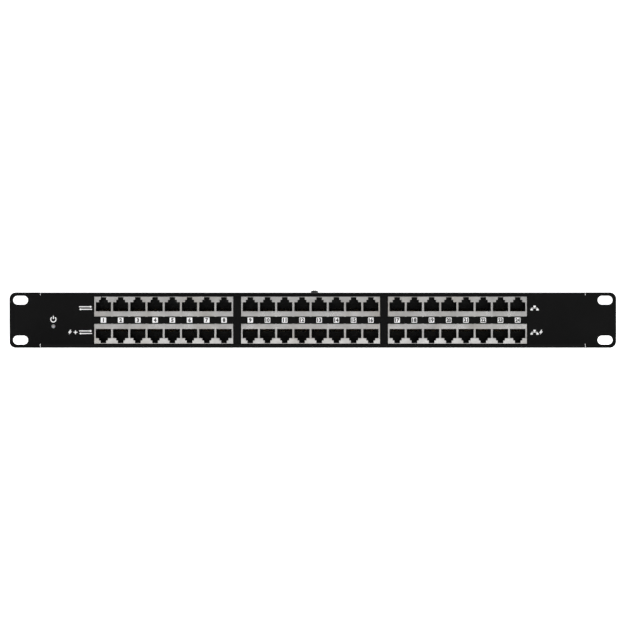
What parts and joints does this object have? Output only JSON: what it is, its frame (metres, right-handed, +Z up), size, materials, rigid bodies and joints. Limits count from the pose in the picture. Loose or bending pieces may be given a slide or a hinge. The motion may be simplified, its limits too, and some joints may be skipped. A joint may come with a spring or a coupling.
{
  "type": "patch panel",
  "caption": "Rack-mount powered patch panel, one unit high: black steel casing, two rows of shielded modular jacks in blocks, status lamp, low-voltage inlets at the rear.",
  "frame": {"origin": "centre of the four rack slots, on the rear face of the ears, where they meet the rack's rails", "axes": "+X to the right seen from the front, along the panel's width; +Y to the rear, into the rack; +Z up"},
  "size_m": [0.4826, 0.1017, 0.0459],
  "materials": {
    "black_coating": "fine-textured black powder coat on steel sheet",
    "black_steel": "black-oxide steel screws",
    "zinc_steel": "bright zinc-plated steel",
    "plated_shield": "tin-plated sheet, satin",
    "black_plastic": "glass-filled thermoplastic, matt",
    "gold_plating": "gold-flashed spring bronze",
    "tinned_brass": "tinned brass",
    "brass_posts": "turned brass",
    "board_laminate": "green solder resist on glass-fibre laminate",
    "natural_nylon": "natural nylon",
    "fuse_polymer": "dark green polymer fuse",
    "capacitor_sleeve": "shrink sleeve",
    "green_plastic": "green polyamide",
    "red_wire": "insulated wire",
    "black_wire": "insulated wire",
    "white_print": "screen-printed white ink",
    "dark_print": "screen-printed black ink",
    "lamp_lens": "diffused epoxy lens, unlit"
  },
  "bodies": {
    "casing": {"front_panel": "black_coating", "base_tray": "black_coating", "top_cover": "black_coating", "cover_screws": "black_steel", "floor_screws": "black_steel", "clinch_nuts": "zinc_steel", "upper_board": "board_laminate", "lower_board": "board_laminate", "board_posts": "brass_posts", "board_spacers": "natural_nylon", "board_screws": "zinc_steel", "link_headers": "black_plastic", "link_pins": "gold_plating", "port_fuses": "fuse_polymer", "inlet_board": "board_laminate", "inlet_posts": "brass_posts", "inlet_screws": "zinc_steel", "input_capacitor": "capacitor_sleeve", "dc_jack_body": "black_plastic", "dc_jack_contacts": "tinned_brass", "terminal_header": "green_plastic", "header_pins": "tinned_brass", "supply_wire_positive": "red_wire", "supply_wire_negative": "black_wire", "power_lamp": "lamp_lens", "lamp_leads": "tinned_brass", "lamp_wire_positive": "red_wire", "lamp_wire_negative": "black_wire", "jack_shield_upper_1": "plated_shield", "jack_shield_upper_2": "plated_shield", "jack_shield_upper_3": "plated_shield", "jack_shield_lower_1": "plated_shield", "jack_shield_lower_2": "plated_shield", "jack_shield_lower_3": "plated_shield", "jack_housing_upper_1": "black_plastic", "jack_housing_upper_2": "black_plastic", "jack_housing_upper_3": "black_plastic", "jack_housing_lower_1": "black_plastic", "jack_housing_lower_2": "black_plastic", "jack_housing_lower_3": "black_plastic", "jack_carriers_upper_1": "black_plastic", "jack_carriers_upper_2": "black_plastic", "jack_carriers_upper_3": "black_plastic", "jack_carriers_lower_1": "black_plastic", "jack_carriers_lower_2": "black_plastic", "jack_carriers_lower_3": "black_plastic", "jack_contacts_upper_1": "gold_plating", "jack_contacts_upper_2": "gold_plating", "jack_contacts_upper_3": "gold_plating", "jack_contacts_lower_1": "gold_plating", "jack_contacts_lower_2": "gold_plating", "jack_contacts_lower_3": "gold_plating"},
    "plug": {"terminal_plug": "green_plastic", "plug_contacts": "tinned_brass"},
    "clamp_screw_left": {"clamp_screw_left": "zinc_steel"},
    "clamp_screw_right": {"clamp_screw_right": "zinc_steel"},
    "clamp_cage_left": {"clamp_cage_left": "zinc_steel"},
    "clamp_cage_right": {"clamp_cage_right": "zinc_steel"},
    "earth_washer": {"earth_washer": "zinc_steel"},
    "earth_screw": {"earth_screw": "zinc_steel"}
  },
  "joints": [
    {"name": "plug_pull", "type": "slide", "parent": "casing", "child": "plug", "axis": [0, 1, 0], "range_m": [0, 0.016]},
    {"name": "clamp_screw_turn_left", "type": "hinge", "parent": "plug", "child": "clamp_screw_left", "pos_m": [-0.12454, 0.0943, -0.0071], "axis": [0, 0, -1], "range_deg": [0, 1584.1]},
    {"name": "clamp_cage_rise_left", "type": "slide", "parent": "plug", "child": "clamp_cage_left", "axis": [0, 0, 1], "range_m": [0, 0.0022]},
    {"name": "clamp_screw_turn_right", "type": "hinge", "parent": "plug", "child": "clamp_screw_right", "pos_m": [-0.11946, 0.0943, -0.0071], "axis": [0, 0, -1], "range_deg": [0, 1584.1]},
    {"name": "clamp_cage_rise_right", "type": "slide", "parent": "plug", "child": "clamp_cage_right", "axis": [0, 0, 1], "range_m": [0, 0.0022]},
    {"name": "earth_washer_lift", "type": "slide", "parent": "casing", "child": "earth_washer", "axis": [0, 1, 0], "range_m": [0, 0.0021]},
    {"name": "earth_screw_turn", "type": "hinge", "parent": "earth_washer", "child": "earth_screw", "pos_m": [-0.06, 0.0889, -0.0054], "axis": [0, 1, 0], "range_deg": [0, 1080.1]}
  ],
  "couplings": [
    {"joint": "clamp_screw_turn_left", "follows": "clamp_cage_rise_left", "rad_per_m": 12566},
    {"joint": "clamp_screw_turn_right", "follows": "clamp_cage_rise_right", "rad_per_m": 12566},
    {"joint": "earth_screw_turn", "follows": "earth_washer_lift", "rad_per_m": 8976}
  ]
}
